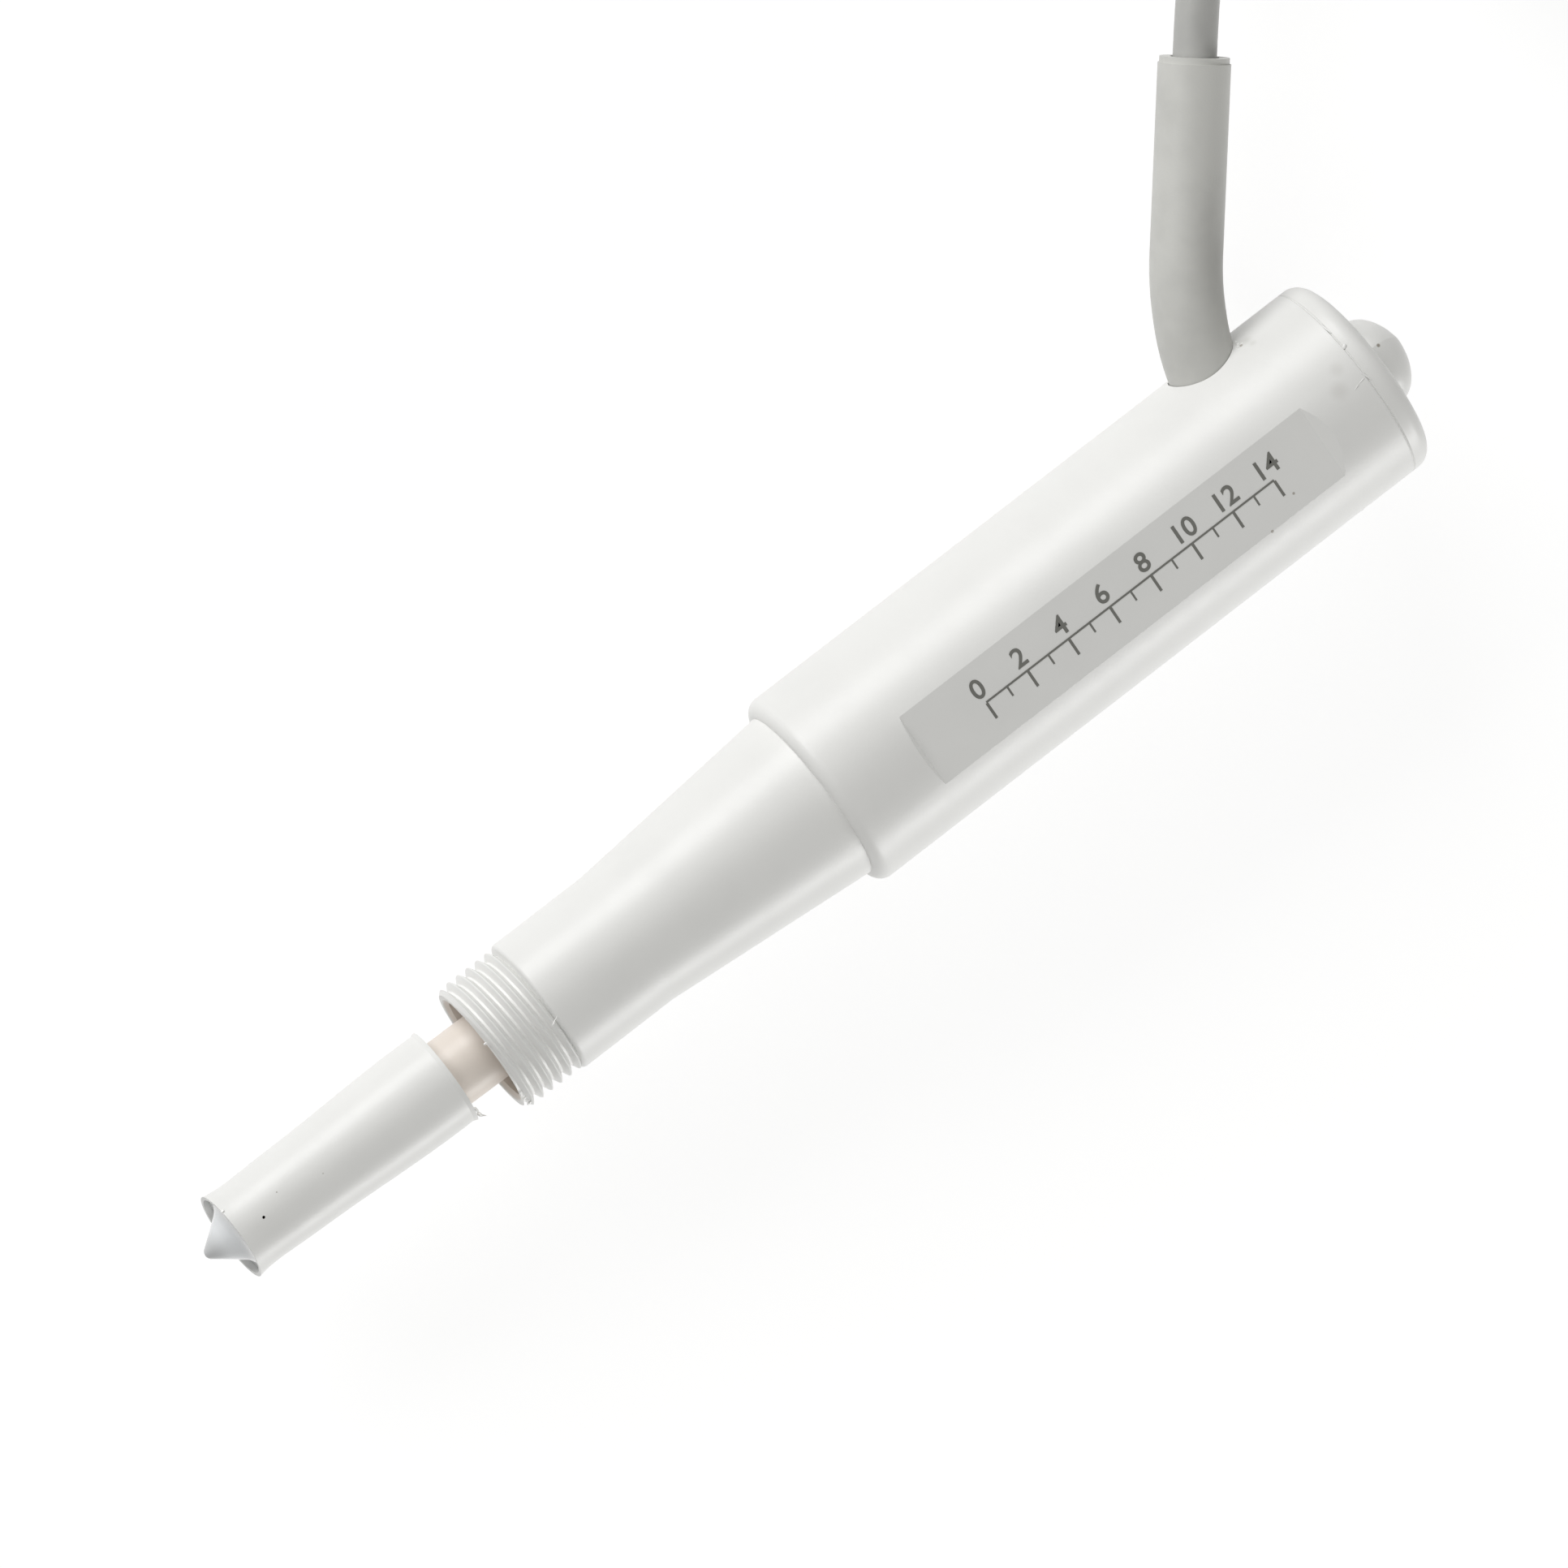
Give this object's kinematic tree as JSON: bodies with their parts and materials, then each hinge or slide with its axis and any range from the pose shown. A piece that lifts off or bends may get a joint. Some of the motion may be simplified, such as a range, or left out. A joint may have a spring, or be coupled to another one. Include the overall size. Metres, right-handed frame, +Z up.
{
  "type": "ph electrode",
  "caption": "Hand-held pH and temperature probe: white handle with a label flat, threaded neck, sleeved glass tip and a side cable coiled up to a round plug.",
  "frame": {"origin": "On the floor under the middle of the probe without its cable, below the handle's axis.", "axes": "+X runs along the probe from the glass tip to the end cap, +Y is the side the cable leaves on, +Z is up, out of the label flat."},
  "size_m": [0.2704, 0.0886, 0.0308],
  "materials": {
    "white_plastic": "satin moulded",
    "beige_plastic": "satin moulded",
    "beige_resin": "cast",
    "black_rubber": "smooth",
    "board_green": "laminate",
    "black_plastic": "moulded",
    "resistor_tan": "lacquered",
    "tinned_metal": "tinned",
    "lead_insulation": "extruded",
    "grey_sleeve": "soft moulded",
    "grey_jacket": "extruded",
    "ph_glass": "clear",
    "silver_wire": "drawn",
    "grey_plastic": "satin moulded",
    "nickel": "plated",
    "gold_contact": "plated"
  },
  "bodies": {
    "root": {"handle_shell": "white_plastic", "end_cap": "white_plastic", "neck": "white_plastic", "seal_ring": "black_rubber", "stem_seal": "beige_resin", "circuit_board": "board_green", "amplifier_chip": "black_plastic", "resistors": "resistor_tan", "capacitor": "black_plastic", "board_pins": "tinned_metal", "electrode_leads": "lead_insulation", "core_wires": "lead_insulation", "cable_sleeve": "grey_sleeve", "cable_tail": "grey_jacket", "cable_clamp": "tinned_metal", "stem_tube": "beige_plastic", "tip_sleeve": "white_plastic", "glass_cone": "ph_glass", "stem_plug": "beige_resin", "inner_wire": "silver_wire", "reference_wire": "silver_wire", "temperature_sensor": "beige_resin", "sensor_leads": "silver_wire", "cable": "grey_jacket", "cable_coil": "grey_jacket", "coil_tie": "black_plastic", "plug_boot": "grey_sleeve", "plug_grip": "grey_plastic", "plug_shell": "nickel", "plug_insert": "black_plastic", "plug_pins": "gold_contact"}
  },
  "joints": []
}
